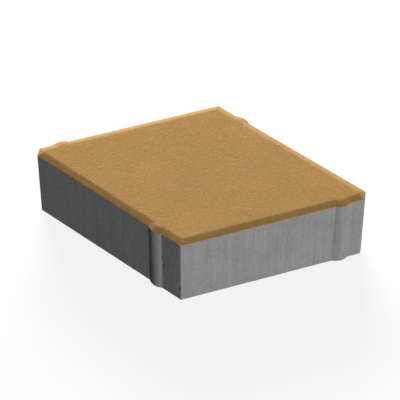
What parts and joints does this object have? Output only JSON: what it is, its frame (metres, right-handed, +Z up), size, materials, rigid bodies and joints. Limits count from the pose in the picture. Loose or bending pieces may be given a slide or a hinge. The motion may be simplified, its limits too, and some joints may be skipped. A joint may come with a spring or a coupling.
{
  "type": "concrete paving stone",
  "caption": "Rhombus paving stone of pressed concrete with an ochre chamfered top, blunt acute corners and rounded spacer nibs on its sides, laid on sand in cube and star patterns",
  "frame": {"origin": "centre of the flat bed face, on the floor", "axes": "X along the long diagonal, between the blunt acute corners; Y along the short diagonal; Z up, from the bed face to the chamfered top"},
  "size_m": [0.246, 0.15, 0.06],
  "materials": {
    "pressed_concrete": "matte"
  },
  "bodies": {
    "root": {"paving_stone": "pressed_concrete"}
  },
  "joints": []
}
